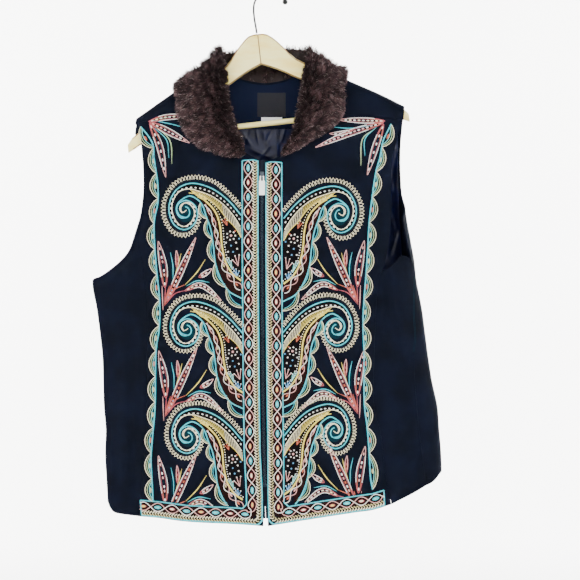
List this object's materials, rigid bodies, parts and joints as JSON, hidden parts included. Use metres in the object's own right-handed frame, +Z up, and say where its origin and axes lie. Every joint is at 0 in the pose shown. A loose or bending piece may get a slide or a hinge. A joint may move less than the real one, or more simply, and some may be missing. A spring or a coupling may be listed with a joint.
{
  "type": "embroidered zip vest on a wooden hanger",
  "caption": "Sleeveless felted-wool zip vest with paisley embroidery and a faux-fur roll collar, hanging on a tilted wooden hanger.",
  "frame": {"origin": "inner top of the hanger's hook, where it rests on a rail, in the garment's middle plane", "axes": "+Z up, -Y the way the front faces, +X to the viewer's right (the wearer's left)"},
  "size_m": [0.5496, 0.087, 0.839],
  "materials": {
    "felt": "matt felted wool with embroidery",
    "facing": "matt woven facing",
    "lining": "shiny satin",
    "fur": "long faux-fur pile",
    "zip_tape": "woven tape",
    "zip_metal": "darkened metal",
    "pull": "pale polished metal",
    "neck_label": "woven, left bare",
    "care_label": "white woven tape",
    "wood": "clear lacquer",
    "hook_wire": "dark plated wire"
  },
  "bodies": {
    "root": {"front_left": "felt", "front_right": "felt", "side_front_left": "felt", "side_front_right": "felt", "back": "felt", "collar": "fur", "neck_facing": "facing", "back_lining": "lining", "label": "neck_label", "care_label": "care_label", "zip_tape_left": "zip_tape", "zip_tape_right": "zip_tape", "zip_teeth_left": "zip_metal", "zip_teeth_right": "zip_metal", "zip_stop": "zip_metal", "zip_slider": "zip_metal", "hanger_arm_left": "wood", "hanger_arm_right": "wood", "hanger_bar": "wood", "hanger_hook": "hook_wire"},
    "tab": {"pull_tab": "pull"}
  },
  "joints": [
    {"name": "pull_tab_swing", "type": "hinge", "parent": "root", "child": "tab", "pos_m": [-0.01168, -0.03884, -0.2911], "axis": [-1, 0, 0], "range_deg": [0, 160]}
  ]
}
